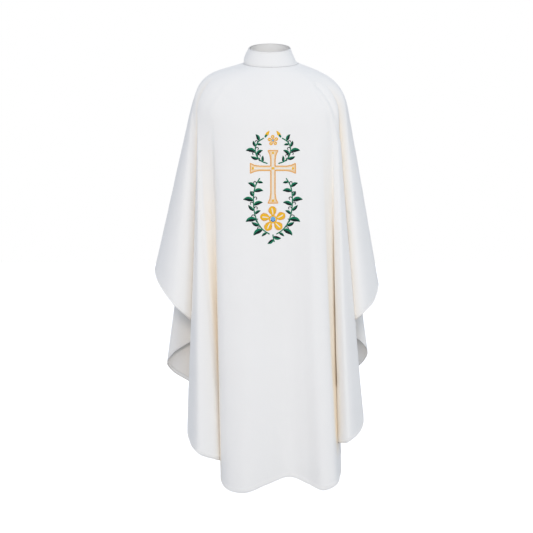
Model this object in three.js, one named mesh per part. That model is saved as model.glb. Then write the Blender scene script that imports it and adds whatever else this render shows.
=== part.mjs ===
// Chasuble in its worn form: a front and a back panel joined over the shoulders,
// a standing collar, and an embroidered cross between leafy sprays on the chest.
// Sizes are in mm. X runs to the viewer's right, the front faces -Y and Z is up.
// The origin is the middle of the neck opening, level with the collar seam.
import * as THREE from "three";

const CLOTH = 2.0;
const COLLAR_WALL = 2.5;
const SEAM_GAP = 0.3;
const THREAD = 1.0;
const THREAD_GAP = 0.5;
const STEM_HALF = 2;
const LEAF_FOOT = 3;
const LEAF_ANGLE = 46;

// Rows of the mesh down a panel, above and below the shoulder line, and columns for each fold.
const YOKE_ROWS = 8;
const FALL_ROWS = 9;
const FRONT_COLUMNS = 3;
const BACK_COLUMNS = 2;
const COLLAR_COLUMNS = 44;
// Steps, in folds and in share of the fall, over which the slope of the cloth is taken.
const ACROSS_STEP = 0.01;
const DOWN_STEP = 0.001;

const NECK = { x: 4, half: 81, front: 68, back: 64, tilt: 18 };
// The ring round the shoulders is squarer from front to back, where the arms need room.
const YOKE = { half: 238, depth: 122, z: -140, chest: 65, shoulders: 40, power: 2.3, depthPower: 3 };
const YOKE_SHARE = 0.26;
const FLARE = 0.35;
// How the cloth leaves the collar seam and how hard it turns to hang down.
const LEAVE = { sideOut: 272, frontOut: 70, frontDown: 95, sideDown: 80, lean: 22 };
const TURN = { side: 312, front: 190, lean: 34 };

// One row for each fold, from the left arm round the front, the right arm and the back.
// turn: where the fold starts on the ring round the shoulders, in degrees (0 is the front).
// sink: how far it lies inside that ring. x, y, z: where it meets the hem.
const FOLDS = table("name turn sink x y z", [
  ["arm_left", 90, 0, -350, 0, -624],
  ["sleeve_left_low", 85, 0, -337, -46, -660],
  ["sleeve_left_in", 77, 0, -289, -88, -723],
  ["crease_left", 69, 16, -216, -46, -806],
  ["ridge_left_out", 65, 5, -244, -95, -1125],
  ["ridge_left", 62.5, 0, -208, -162, -1162],
  ["ridge_left_in", 59, 0, -163, -142, -1181],
  ["valley_left", 45, 0, -112, -66, -1212],
  ["panel_left", 40, 0, -146, -125, -1243],
  ["panel_left_front", 34, 0, -120, -176, -1267],
  ["lobe_left", 20, 0, -72, -196, -1270],
  ["lobe_middle", 4, 0, -4, -170, -1250],
  ["arch", -10, 0, 62, -138, -1235],
  ["arch_right", -18, 0, 112, -156, -1251],
  ["lobe_right", -26, 0, 159, -190, -1264],
  ["panel_right_front", -33, 0, 193, -180, -1254],
  ["panel_right", -40, 0, 212, -128, -1235],
  ["valley_right", -47, 0, 216, -66, -1185],
  ["ridge_right_in", -50.5, 0, 203, -120, -1138],
  ["ridge_right", -55, 0, 232, -166, -1125],
  ["ridge_right_out", -60, 4, 281, -98, -1089],
  ["crease_right", -65, 16, 228, -46, -806],
  ["sleeve_right_in", -74, 0, 280, -86, -752],
  ["sleeve_right_low", -83, 0, 318, -46, -714],
  ["arm_right", -90, 0, 333, 0, -668],
  ["back_sleeve_right", -99, 0, 316, 50, -706],
  ["back_tuck_right", -107, 6, 241, 74, -813],
  ["back_wing_right_in", -112, 0, 292, 88, -862],
  ["back_wing_right", -116, 0, 309, 104, -893],
  ["back_wing_right_out", -119, 0, 298, 120, -920],
  ["back_turn_right", -125, 0, 232, 130, -985],
  ["back_ridge_right_in", -131, 0, 232, 186, -1090],
  ["back_ridge_right", -135, 0, 208, 214, -1135],
  ["back_ridge_right_out", -139, 0, 170, 200, -1168],
  ["back_valley_right", -146, 0, 128, 112, -1214],
  ["back_lobe_right_in", -153, 0, 116, 188, -1246],
  ["back_lobe_right", -160, 0, 78, 218, -1266],
  ["back_middle", -178, 0, 4, 166, -1274],
  ["back_lobe_left", -200, 0, -80, 216, -1266],
  ["back_lobe_left_in", -207, 0, -118, 186, -1246],
  ["back_valley_left", -214, 0, -130, 112, -1212],
  ["back_ridge_left_out", -221, 0, -174, 198, -1166],
  ["back_ridge_left", -225, 0, -212, 212, -1135],
  ["back_ridge_left_in", -230, 0, -236, 184, -1090],
  ["back_turn_left", -237, 0, -228, 128, -1008],
  ["back_wing_left_out", -243, 0, -306, 120, -952],
  ["back_wing_left", -247, 0, -321, 102, -926],
  ["back_wing_left_in", -250, 0, -300, 86, -892],
  ["back_tuck_left", -254, 6, -215, 74, -826],
  ["back_sleeve_left", -261, 0, -330, 50, -668],
]);
const ARM_RIGHT = FOLDS.findIndex((f) => f.name === "arm_right");

// Collar rings, from its seam up: rise, middle of the ring, and its half sizes.
const COLLAR = table("rise x half front back", [
  [0.4, 4, 81, 68, 64],
  [6, 1, 78.5, 66.5, 63.6],
  [14, -0.5, 77, 64.5, 63],
  [30, -1.2, 70, 61.5, 62.4],
  [46, 0.6, 63, 58.5, 62],
]);

const EMBLEM_X = 10;
// The cross, upright then arms: distance along it and half width there.
const CROSS = { z: -318, half: 8 };
const CROSS_UP = table("far half", [[26, 8], [40, 10.5], [54, 17]]);
const CROSS_DOWN = table("far half", [[42, 8], [74, 8], [90, 10.5], [104, 17]]);
const CROSS_ARM = table("far half", [[40, 8], [54, 10.5], [68, 17]]);

// Leafy stems on the left side, below and above the cross's arms; the right side mirrors them.
const STEM = table("x z", [
  [-10, -512],
  [-28, -500],
  [-43, -481],
  [-53, -455],
  [-57, -425],
  [-57, -396],
  [-51, -368],
  [-39, -347],
]);
const STEM_UPPER = table("x z", [
  [-16, -304],
  [-34, -297],
  [-48, -281],
  [-52, -260],
  [-44, -241],
  [-27, -229],
]);
const STEM_LOW = table("x z", [[0, -513], [1, -522], [4, -535]]);
// Leaves: place along the stem (0 to 1), side (1 is to the left going up), length,
// width and how many degrees the leaf curls away from the stem.
const LEAVES = table("at side length width curl", [
  [0.05, 1, 17, 9, 40],
  [0.13, 1, 30, 17, 60],
  [0.22, 1, 23, 12, -30],
  [0.32, 1, 30, 17, 70],
  [0.41, -1, 18, 10, 50],
  [0.47, 1, 22, 11, -20],
  [0.55, -1, 26, 14, 60],
  [0.62, 1, 28, 16, 70],
  [0.7, 1, 16, 10, -30],
  [0.77, -1, 25, 14, 60],
  [0.84, 1, 22, 13, 60],
  [0.93, -1, 15, 9, 40],
]);
const LEAVES_UPPER = table("at side length width curl", [
  [0.14, -1, 17, 9, 40],
  [0.3, 1, 22, 11, -30],
  [0.42, -1, 21, 12, 60],
  [0.52, 1, 26, 15, 60],
  [0.66, 1, 17, 10, -20],
  [0.73, -1, 14, 8, 50],
  [0.84, 1, 20, 12, 60],
]);
const LEAVES_LOW = table("at side length width curl", [[0.27, 1, 22, 13, 50], [0.64, -1, 20, 12, 40]]);
const FLOWERS = table("name x z reach width", [
  ["flower_large", 0, -468, 39, 26],
  ["flower_small", 0, -236, 16, 11],
]);
const BUDS = table("name x z turn length width", [
  ["bud_left", -23, -226, 56, 22, 11],
  ["bud_right", 23, -226, 124, 22, 11],
]);

// Outlines along their length: share of the length, share of the width.
const LEAF_SHAPE = table("far wide", [[0.3, 0.47], [0.6, 0.44], [0.84, 0.24], [1, 0.05]]);
const PETAL_SHAPE = table("far wide", [[0.3, 0.4], [0.62, 0.5], [0.86, 0.34], [1, 0.1]]);
const BUD_SHAPE = table("far wide", [[0.25, 0.4], [0.5, 0.5], [0.78, 0.32], [1, 0.06]]);
const BUD_FOOT = 1.3;
const PETALS = 5;
const PETAL_BEND = 24;
// Radii of a flower's eye and of the ring its petals grow from, as shares of its reach.
const EYE = 0.2;
const PETAL_RING = 0.32;

const COLOUR = { cloth: 0xeeece6, gold: 0xe0a040, green: 0x0f7a52, yellow: 0xf2c23a, blue: 0x7fb2d8 };

function table(columns, rows) {
  const names = columns.split(" ");
  return rows.map((row) => Object.fromEntries(names.map((n, k) => [n, row[k]])));
}

const group = new THREE.Group();
group.name = "chasuble";

function addMesh(name, colour, points, faces) {
  const geometry = new THREE.BufferGeometry();
  const flat = points.flatMap((p) => [p.x, p.y, p.z]);
  geometry.setAttribute("position", new THREE.Float32BufferAttribute(flat, 3));
  geometry.setIndex(faces.flat());
  geometry.computeVertexNormals();
  const material = new THREE.MeshStandardMaterial({ color: colour, roughness: 0.8 });
  const mesh = new THREE.Mesh(geometry, material);
  mesh.name = name;
  group.add(mesh);
}

// The hem is a smooth closed curve through the folds, run by distance.
const COUNT = FOLDS.length;
const KNOTS = [0];
for (let i = 0; i < COUNT; i++) {
  const a = FOLDS[i];
  const b = FOLDS[(i + 1) % COUNT];
  KNOTS.push(KNOTS[i] + Math.pow(Math.hypot(b.x - a.x, b.y - a.y, b.z - a.z), 0.75));
}

function columnSlopes(key, wrap) {
  return FOLDS.map((fold, i) => {
    const before = FOLDS[(i + COUNT - 1) % COUNT][key] - (i === 0 ? wrap : 0);
    const after = FOLDS[(i + 1) % COUNT][key] + (i === COUNT - 1 ? wrap : 0);
    const h0 = i === 0 ? KNOTS[COUNT] - KNOTS[COUNT - 1] : KNOTS[i] - KNOTS[i - 1];
    const h1 = KNOTS[i + 1] - KNOTS[i];
    const s0 = (fold[key] - before) / h0;
    const s1 = (after - fold[key]) / h1;
    const slope = (s0 * h1 + s1 * h0) / (h0 + h1);
    if (key !== "turn") return slope;
    return Math.max(slope, -3 * Math.min(Math.abs(s0), Math.abs(s1)));
  });
}

const SLOPES = {};
for (const key of ["x", "y", "z", "sink"]) SLOPES[key] = columnSlopes(key, 0);
SLOPES.turn = columnSlopes("turn", -360);

function cubic(t, p0, m0, p1, m1) {
  const u = t * t * t;
  const s = t * t;
  return (2 * u - 3 * s + 1) * p0 + (u - 2 * s + t) * m0 + (3 * s - 2 * u) * p1 + (u - s) * m1;
}

function foldColumn(place, key) {
  const whole = Math.floor(place);
  const i = ((whole % COUNT) + COUNT) % COUNT;
  const j = (i + 1) % COUNT;
  const h = KNOTS[i + 1] - KNOTS[i];
  const end = FOLDS[j][key] + (key === "turn" && i === COUNT - 1 ? -360 : 0);
  return cubic(place - whole, FOLDS[i][key], SLOPES[key][i] * h, end, SLOPES[key][j] * h);
}

function powered(value, exponent) {
  return Math.sign(value) * Math.pow(Math.abs(value), exponent);
}

function yokePoint(turn, sink) {
  const x = -YOKE.half * powered(Math.sin(turn), 2 / YOKE.power);
  const y = -YOKE.depth * powered(Math.cos(turn), 2 / YOKE.depthPower);
  const kept = 1 - sink / Math.hypot(x, y);
  const lower = (Math.cos(turn) > 0 ? YOKE.chest : YOKE.shoulders) * Math.cos(turn) ** 2;
  return new THREE.Vector3(x * kept, y * kept, YOKE.z - lower);
}

function neckPoint(turn) {
  const depth = Math.cos(turn) > 0 ? NECK.front : NECK.back;
  const x = NECK.x - NECK.half * Math.sin(turn);
  return new THREE.Vector3(x, -depth * Math.cos(turn), -NECK.tilt * Math.cos(turn));
}

// Point of the outer face: place counts folds round the body, down is 0 at the
// collar seam and 1 at the hem. Below the shoulders the cloth falls almost straight.
function clothPoint(place, down) {
  const turn = (foldColumn(place, "turn") * Math.PI) / 180;
  const top = yokePoint(turn, Math.max(0, foldColumn(place, "sink")));
  const hem = ["x", "y", "z"].map((key) => foldColumn(place, key));
  const fall = new THREE.Vector3(...hem).sub(top);
  const side = Math.sin(turn) ** 2;
  const flare = FLARE * (1 - side * side);
  if (down >= YOKE_SHARE) {
    const w = (down - YOKE_SHARE) / (1 - YOKE_SHARE);
    const wide = w * (1 - flare) + w * w * flare;
    return top.add(new THREE.Vector3(fall.x * wide, fall.y * wide, fall.z * w));
  }
  const lean = Math.sin(turn) ** 3;
  const out = LEAVE.frontOut + (LEAVE.sideOut - LEAVE.frontOut) * side ** 1.5 + LEAVE.lean * lean;
  const drop = LEAVE.frontDown + (LEAVE.sideDown - LEAVE.frontDown) * side;
  const leave = new THREE.Vector3(-out * Math.sin(turn), -out * Math.cos(turn), -drop);
  const hang = new THREE.Vector3(fall.x * (1 - flare), fall.y * (1 - flare), fall.z);
  const pull = TURN.front + (TURN.side - TURN.front) * side * side + TURN.lean * lean;
  hang.setLength(pull);
  const neck = neckPoint(turn);
  const s = down / YOKE_SHARE;
  return new THREE.Vector3(
    cubic(s, neck.x, leave.x, top.x, hang.x),
    cubic(s, neck.y, leave.y, top.y, hang.y),
    cubic(s, neck.z, leave.z, top.z, hang.z),
  );
}

function clothNormal(place, down) {
  const low = Math.max(0, down - 4 * DOWN_STEP);
  const high = Math.min(1, down + 4 * DOWN_STEP);
  const along = clothPoint(place + ACROSS_STEP, down).sub(clothPoint(place - ACROSS_STEP, down));
  const fall = clothPoint(place, high).sub(clothPoint(place, low));
  return fall.cross(along).normalize();
}

// Closed wall between an outer and an inner grid of the same size.
// A ring grid joins its last column to its first.
function addWall(name, colour, outer, inner, ring) {
  const rows = outer.length;
  const cols = outer[0].length;
  const points = [...outer.flat(), ...inner.flat()];
  const half = rows * cols;
  const faces = [];
  const quad = (a, b, c, d) => faces.push([a, b, c], [a, c, d]);
  const spans = ring ? cols : cols - 1;
  for (let i = 0; i + 1 < rows; i++) {
    for (let j = 0; j < spans; j++) {
      const k = (j + 1) % cols;
      const cell = [i * cols + j, (i + 1) * cols + j, (i + 1) * cols + k, i * cols + k];
      quad(...cell);
      quad(...cell.map((p) => p + half).reverse());
    }
  }
  for (let j = 0; j < spans; j++) {
    const k = (j + 1) % cols;
    const low = (rows - 1) * cols;
    quad(j, k, k + half, j + half);
    quad(low + k, low + j, low + j + half, low + k + half);
  }
  for (let i = 0; !ring && i + 1 < rows; i++) {
    const a = i * cols;
    const b = a + cols;
    quad(b, a, a + half, b + half);
    quad(a + cols - 1, b + cols - 1, b + cols - 1 + half, a + cols - 1 + half);
  }
  addMesh(name, colour, points, faces);
}

function downStops() {
  const stops = [];
  for (let k = 0; k < YOKE_ROWS; k++) stops.push((YOKE_SHARE * k) / YOKE_ROWS);
  for (let k = 0; k <= FALL_ROWS; k++) stops.push(YOKE_SHARE + ((1 - YOKE_SHARE) * k) / FALL_ROWS);
  return stops;
}

function addPanel(name, from, to, perFold) {
  const outer = [];
  const inner = [];
  const count = (to - from) * perFold;
  for (const down of downStops()) {
    const outerRow = [];
    const innerRow = [];
    for (let k = 0; k <= count; k++) {
      const place = from + k / perFold;
      const point = clothPoint(place, down);
      if (k === 0 || k === count) {
        const inward = k === 0 ? ACROSS_STEP : -ACROSS_STEP;
        const toward = clothPoint(place + inward, down).sub(point);
        point.add(toward.setLength(SEAM_GAP / 2));
      }
      outerRow.push(point);
      innerRow.push(point.clone().addScaledVector(clothNormal(place, down), -CLOTH));
    }
    outer.push(outerRow);
    inner.push(innerRow);
  }
  addWall(name, COLOUR.cloth, outer, inner, false);
}

addPanel("front_panel", 0, ARM_RIGHT, FRONT_COLUMNS);
addPanel("back_panel", ARM_RIGHT, COUNT, BACK_COLUMNS);

function addCollar() {
  const outer = [];
  const inner = [];
  const turnOf = (k) => Math.PI / 2 - (2 * Math.PI * k) / COLLAR_COLUMNS;
  for (const row of [...COLLAR].reverse()) {
    const at = (turn, wall) => {
      const depth = (Math.cos(turn) > 0 ? row.front : row.back) - wall;
      const x = row.x - (row.half - wall) * Math.sin(turn);
      return new THREE.Vector3(x, -depth * Math.cos(turn), row.rise - NECK.tilt * Math.cos(turn));
    };
    const turns = Array.from({ length: COLLAR_COLUMNS }, (_, k) => turnOf(k));
    outer.push(turns.map((turn) => at(turn, 0)));
    inner.push(turns.map((turn) => at(turn, COLLAR_WALL)));
  }
  addWall("collar", COLOUR.cloth, outer, inner, true);
}

addCollar();

// Where the front panel's outer face has the given x and z.
function seatOnFront(x, z) {
  let place = ARM_RIGHT / 2;
  let down = 0.5;
  for (let round = 0; round < 12; round++) {
    const p = clothPoint(place, down);
    const byPlace = clothPoint(place + ACROSS_STEP, down).sub(p).divideScalar(ACROSS_STEP);
    const byDown = clothPoint(place, down + DOWN_STEP).sub(p).divideScalar(DOWN_STEP);
    const det = byPlace.x * byDown.z - byPlace.z * byDown.x;
    const dx = x - p.x;
    const dz = z - p.z;
    place += (dx * byDown.z - dz * byDown.x) / det;
    down += (dz * byPlace.x - dx * byPlace.z) / det;
  }
  return { point: clothPoint(place, down), normal: clothNormal(place, down) };
}

// Thin body lying on the front panel, from flat cells that share corners.
function addPatch(name, colour, cells) {
  const index = new Map();
  const base = [];
  const face = [];
  const cornerOf = ([x, z]) => {
    const key = `${x.toFixed(2)} ${z.toFixed(2)}`;
    if (!index.has(key)) {
      const seat = seatOnFront(EMBLEM_X + x, z);
      index.set(key, base.length);
      base.push(seat.point.clone().addScaledVector(seat.normal, THREAD_GAP));
      face.push(seat.point.clone().addScaledVector(seat.normal, THREAD_GAP + THREAD));
    }
    return index.get(key);
  };
  const rings = cells.map((cell) => {
    const turned = THREE.ShapeUtils.area(cell.map(([x, z]) => new THREE.Vector2(x, z))) < 0;
    return (turned ? [...cell].reverse() : cell).map(cornerOf);
  });
  const half = base.length;
  const faces = [];
  const open = new Set();
  for (const ring of rings) {
    for (let k = 1; k + 1 < ring.length; k++) {
      faces.push([ring[0] + half, ring[k] + half, ring[k + 1] + half]);
      faces.push([ring[k + 1], ring[k], ring[0]]);
    }
    ring.forEach((a, k) => open.add(`${a} ${ring[(k + 1) % ring.length]}`));
  }
  for (const edge of open) {
    const [a, b] = edge.split(" ").map(Number);
    if (open.has(`${b} ${a}`)) continue;
    faces.push([a, b, b + half], [a, b + half, a + half]);
  }
  addMesh(name, colour, [...base, ...face], faces);
}

function addCross() {
  const h = CROSS.half;
  const z = CROSS.z;
  const cells = [[[-h, z - h], [h, z - h], [h, z + h], [-h, z + h]]];
  const limb = (rows, toPoint) => {
    let near = { far: h, half: h };
    for (const row of rows) {
      const low = [toPoint(near.far, -near.half), toPoint(row.far, -row.half)];
      const high = [toPoint(row.far, row.half), toPoint(near.far, near.half)];
      cells.push([...low, ...high]);
      near = row;
    }
  };
  limb(CROSS_UP, (far, across) => [across, z + far]);
  limb(CROSS_DOWN, (far, across) => [across, z - far]);
  limb(CROSS_ARM, (far, across) => [far, z + across]);
  limb(CROSS_ARM, (far, across) => [-far, z + across]);
  addPatch("cross", COLOUR.gold, cells);
}

// Cells of a blade that grows from two corners, left then right, along a bending middle line.
function bladeCells(foot, heading, bend, length, width, shape) {
  const x = (foot[0][0] + foot[1][0]) / 2;
  const z = (foot[0][1] + foot[1][1]) / 2;
  const cells = [];
  let near = foot;
  for (const row of shape) {
    const toward = heading + (bend * row.far) / 2;
    const across = heading + bend * row.far + Math.PI / 2;
    const cx = x + length * row.far * Math.cos(toward);
    const cz = z + length * row.far * Math.sin(toward);
    const dx = width * row.wide * Math.cos(across);
    const dz = width * row.wide * Math.sin(across);
    const next = [[cx + dx, cz + dz], [cx - dx, cz - dz]];
    cells.push([near[0], next[0], next[1], near[1]]);
    near = next;
  }
  return cells;
}

function addSpray(name, rows, leaves, mirror) {
  const path = new THREE.CatmullRomCurve3(rows.map((r) => new THREE.Vector3(r.x * mirror, 0, r.z)));
  const foot = LEAF_FOOT / path.getLength();
  const stops = [0, ...leaves.flatMap((leaf) => [leaf.at - foot, leaf.at + foot]), 1];
  const sides = stops.map((u) => {
    const p = path.getPointAt(u);
    const t = path.getTangentAt(u);
    const left = [p.x - t.z * STEM_HALF, p.z + t.x * STEM_HALF];
    const right = [p.x + t.z * STEM_HALF, p.z - t.x * STEM_HALF];
    return { left, right, heading: Math.atan2(t.z, t.x) };
  });
  const cells = [];
  for (let k = 0; k + 1 < sides.length; k++) {
    cells.push([sides[k].left, sides[k].right, sides[k + 1].right, sides[k + 1].left]);
  }
  leaves.forEach((leaf, n) => {
    const low = sides[1 + 2 * n];
    const high = sides[2 + 2 * n];
    const side = leaf.side * mirror;
    const corners = side > 0 ? [low.left, high.left] : [high.right, low.right];
    const heading = low.heading + THREE.MathUtils.degToRad(side * LEAF_ANGLE);
    const bend = THREE.MathUtils.degToRad(side * leaf.curl);
    cells.push(...bladeCells(corners, heading, bend, leaf.length, leaf.width, LEAF_SHAPE));
  });
  addPatch(name, COLOUR.green, cells);
}

// Petals round a ring, which leaves a narrow gap round the eye.
function addFlower(flower) {
  const steps = 2 * PETALS;
  const eye = flower.reach * EYE;
  const ring = flower.reach * PETAL_RING;
  const around = (k, r) => {
    const angle = Math.PI / 2 + ((k - 0.5) * Math.PI) / PETALS;
    return [flower.x + r * Math.cos(angle), flower.z + r * Math.sin(angle)];
  };
  const cells = [];
  for (let k = 0; k < steps; k++) {
    const inner = [around(k, eye + THREAD_GAP), around(k + 1, eye + THREAD_GAP)];
    cells.push([inner[0], around(k, ring), around(k + 1, ring), inner[1]]);
  }
  for (let k = 0; k < steps; k += 2) {
    const heading = Math.PI / 2 + (k * Math.PI) / PETALS;
    const foot = [around(k + 1, ring), around(k, ring)];
    const bend = THREE.MathUtils.degToRad(PETAL_BEND);
    cells.push(...bladeCells(foot, heading, bend, flower.reach - ring, flower.width, PETAL_SHAPE));
  }
  addPatch(flower.name, COLOUR.yellow, cells);
  const middle = [];
  for (let k = 0; k < steps; k += 2) {
    middle.push([[flower.x, flower.z], around(k, eye), around(k + 1, eye), around(k + 2, eye)]);
  }
  addPatch(`${flower.name}_eye`, COLOUR.blue, middle);
}

function addBud(bud) {
  const heading = THREE.MathUtils.degToRad(bud.turn);
  const dx = -BUD_FOOT * Math.sin(heading);
  const dz = BUD_FOOT * Math.cos(heading);
  const foot = [[bud.x + dx, bud.z + dz], [bud.x - dx, bud.z - dz]];
  addPatch(bud.name, COLOUR.yellow, bladeCells(foot, heading, 0, bud.length, bud.width, BUD_SHAPE));
}

addCross();
addSpray("spray_left", STEM, LEAVES, 1);
addSpray("spray_right", STEM, LEAVES, -1);
addSpray("spray_left_upper", STEM_UPPER, LEAVES_UPPER, 1);
addSpray("spray_right_upper", STEM_UPPER, LEAVES_UPPER, -1);
addSpray("spray_low", STEM_LOW, LEAVES_LOW, 1);
FLOWERS.forEach(addFlower);
BUDS.forEach(addBud);

export default group;
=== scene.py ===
import math

import bpy
import numpy as np
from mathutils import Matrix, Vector, noise


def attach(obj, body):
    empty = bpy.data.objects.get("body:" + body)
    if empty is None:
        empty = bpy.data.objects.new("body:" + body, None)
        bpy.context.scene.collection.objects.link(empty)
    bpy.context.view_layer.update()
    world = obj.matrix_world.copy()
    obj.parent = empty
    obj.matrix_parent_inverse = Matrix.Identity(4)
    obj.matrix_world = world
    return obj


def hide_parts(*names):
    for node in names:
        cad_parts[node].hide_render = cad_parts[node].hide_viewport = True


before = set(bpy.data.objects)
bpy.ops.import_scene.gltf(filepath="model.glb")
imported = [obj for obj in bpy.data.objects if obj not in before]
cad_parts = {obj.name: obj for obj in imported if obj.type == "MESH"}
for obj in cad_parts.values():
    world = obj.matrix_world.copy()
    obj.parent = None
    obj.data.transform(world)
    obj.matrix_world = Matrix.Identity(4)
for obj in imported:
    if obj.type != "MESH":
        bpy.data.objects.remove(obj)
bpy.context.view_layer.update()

MM = 0.001
BODY = "root"

# Walls, and the rows and the columns for each fold that they are made with. ROUNDING is how
# far their edges bulge, as a share of half their thickness.
CLOTH = 1.4 * MM
COLLAR_WALL = 2.3 * MM
SEAM_GAP = 0.3 * MM
ROUNDING = 0.55
YOKE_ROWS = 34
FALL_ROWS = 66
PER_FOLD = {"front": 16, "back": 10, "hem": 8, "stitches": 24}

# The hem's second layer, and the rows of sewing stitches. HEM_SAMPLE is the share of the fall
# over which the slope above the hem is measured.
HEM_TURN = {"width": 12 * MM, "edge": 0.8 * MM, "thick": 0.9 * MM, "inset": 0.1 * MM, "rows": 4}
HEM_SAMPLE = 0.02
HEM_STITCH_UP = 10 * MM
HEM_STITCH_MARGIN = 0.06
SEAM_STITCH_IN = 5 * MM
SEAM_STITCH_DOWN = (0.02, 0.985)
COLLAR_STITCH_RISES = (41 * MM, 5 * MM)
STITCH = {"length": 3.4 * MM, "gap": 1.1 * MM, "radius": 0.42 * MM, "lift": 0.05 * MM, "sunk": 0.8}
# Along a stitch: share of its length and share of its radius.
STITCH_SHAPE = ((0.0, 0.4), (0.2, 1.0), (0.8, 1.0), (1.0, 0.4))
STITCH_SIDES = 5

# The neck seam, then the ring round the shoulders, which dips at the chest and the back.
# YOKE_POWER squares its corners, YOKE_SHARE is the share of the fall above it, and FLARE
# holds the cloth in under it before it widens to the hem.
NECK = {"x": 4 * MM, "half": 81 * MM, "front": 68 * MM, "back": 64 * MM, "tilt": 18 * MM}
YOKE = {"half": 238 * MM, "depth": 122 * MM, "z": -140 * MM}
YOKE_CHEST = 65 * MM
YOKE_SHOULDERS = 40 * MM
YOKE_POWER = {"x": 2.3, "y": 3.0}
YOKE_SHARE = 0.26
FLARE = 0.35

# How the cloth leaves the neck, and how hard it turns down at the ring; lean makes the left
# side differ from the right.
LEAVE = {
    "side_out": 272 * MM,
    "front_out": 70 * MM,
    "front_down": 95 * MM,
    "side_down": 80 * MM,
    "lean": 22 * MM,
}
TURN = {"side": 312 * MM, "front": 190 * MM, "lean": 34 * MM}

# One row for each fold, from the left arm round the front, the right arm and the back:
# where it starts on the ring round the shoulders (degrees, 0 is the front), how far it
# lies inside that ring, and where it meets the hem (x, y, z).
FOLDS = [
    ("arm_left", 90, 0, -350, 0, -624),
    ("sleeve_left_low", 85, 0, -337, -46, -660),
    ("sleeve_left_in", 77, 0, -289, -88, -723),
    ("crease_left", 69, 16, -216, -46, -806),
    ("ridge_left_out", 65, 5, -244, -95, -1125),
    ("ridge_left", 62.5, 0, -208, -162, -1162),
    ("ridge_left_in", 59, 0, -163, -142, -1181),
    ("valley_left", 45, 0, -112, -66, -1212),
    ("panel_left", 40, 0, -146, -125, -1243),
    ("panel_left_front", 34, 0, -120, -176, -1267),
    ("lobe_left", 20, 0, -72, -196, -1270),
    ("lobe_middle", 4, 0, -4, -170, -1250),
    ("arch", -10, 0, 62, -138, -1235),
    ("arch_right", -18, 0, 112, -156, -1251),
    ("lobe_right", -26, 0, 159, -190, -1264),
    ("panel_right_front", -33, 0, 193, -180, -1254),
    ("panel_right", -40, 0, 212, -128, -1235),
    ("valley_right", -47, 0, 216, -66, -1185),
    ("ridge_right_in", -50.5, 0, 203, -120, -1138),
    ("ridge_right", -55, 0, 232, -166, -1125),
    ("ridge_right_out", -60, 4, 281, -98, -1089),
    ("crease_right", -65, 16, 228, -46, -806),
    ("sleeve_right_in", -74, 0, 280, -86, -752),
    ("sleeve_right_low", -83, 0, 318, -46, -714),
    ("arm_right", -90, 0, 333, 0, -668),
    ("back_sleeve_right", -99, 0, 316, 50, -706),
    ("back_tuck_right", -107, 6, 241, 74, -813),
    ("back_wing_right_in", -112, 0, 292, 88, -862),
    ("back_wing_right", -116, 0, 309, 104, -893),
    ("back_wing_right_out", -119, 0, 298, 120, -920),
    ("back_turn_right", -125, 0, 232, 130, -985),
    ("back_ridge_right_in", -131, 0, 232, 186, -1090),
    ("back_ridge_right", -135, 0, 208, 214, -1135),
    ("back_ridge_right_out", -139, 0, 170, 200, -1168),
    ("back_valley_right", -146, 0, 128, 112, -1214),
    ("back_lobe_right_in", -153, 0, 116, 188, -1246),
    ("back_lobe_right", -160, 0, 78, 218, -1266),
    ("back_middle", -178, 0, 4, 166, -1274),
    ("back_lobe_left", -200, 0, -80, 216, -1266),
    ("back_lobe_left_in", -207, 0, -118, 186, -1246),
    ("back_valley_left", -214, 0, -130, 112, -1212),
    ("back_ridge_left_out", -221, 0, -174, 198, -1166),
    ("back_ridge_left", -225, 0, -212, 212, -1135),
    ("back_ridge_left_in", -230, 0, -236, 184, -1090),
    ("back_turn_left", -237, 0, -228, 128, -1008),
    ("back_wing_left_out", -243, 0, -306, 120, -952),
    ("back_wing_left", -247, 0, -321, 102, -926),
    ("back_wing_left_in", -250, 0, -300, 86, -892),
    ("back_tuck_left", -254, 6, -215, 74, -826),
    ("back_sleeve_left", -261, 0, -330, 50, -668),
]
FOLD_NAMES = [fold[0] for fold in FOLDS]
COUNT = len(FOLDS)
ARM_RIGHT = FOLD_NAMES.index("arm_right")
# Folds are spaced by this power of their distance along the hem, and turns change at most
# STEEPEST times as fast as they do between two folds.
KNOT_POWER = 0.75
STEEPEST = 3

# Folds with painted shade: a creamier colour painted deep inside them, where light only comes off
# cream cloth. In folds from the named one: how far before it the painted shade starts, how far that
# start moves on by the hem, how long it takes to rise, how far after it the painted shade stops and
# how long it takes to fall. Then the shares of the fall at which it first shows, is full and has gone (2
# is never), and its strength.
FOLD_PAINTED_SHADES = [
    ("crease_left", 0.6, 0, 0.6, 0.7, 0.7, 0.12, 0.32, 2, 0.5),
    ("valley_left", 1.38, 0.85, 0.2, 1.4, 0.5, 0.3, 0.95, 2, 1),
    ("valley_right", 1.6, 0, 0.3, 0.9, 0.3, 0.3, 0.9, 0.96, 1),
    ("crease_right", 0.9, 0, 0.9, 0.9, 0.9, 0.15, 0.34, 2, 0.6),
    ("back_tuck_right", 0.9, 0, 0.9, 0.9, 0.9, 0.2, 0.45, 2, 0.4),
    ("back_turn_right", 0.8, 0, 0.8, 0.8, 0.8, 0.3, 0.55, 2, 0.4),
    ("back_valley_right", 1.2, 0, 1.2, 0.8, 0.8, 0.2, 0.95, 2, 0.8),
    ("back_middle", 0.8, 0, 0.8, 0.8, 0.8, 0.4, 0.95, 2, 0.3),
    ("back_valley_left", 0.8, 0, 0.8, 1.2, 1.2, 0.2, 0.95, 2, 0.8),
    ("back_turn_left", 0.8, 0, 0.8, 0.8, 0.8, 0.3, 0.55, 2, 0.4),
    ("back_tuck_left", 0.9, 0, 0.9, 0.9, 0.9, 0.2, 0.45, 2, 0.4),
]
# How quickly the painted fold shade goes at its end, then the fixed painted shade given to the cloth's
# cut edges.
PAINTED_SHADE_FADE = 0.06
EDGE_PAINTED_SHADE = 0.8

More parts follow.
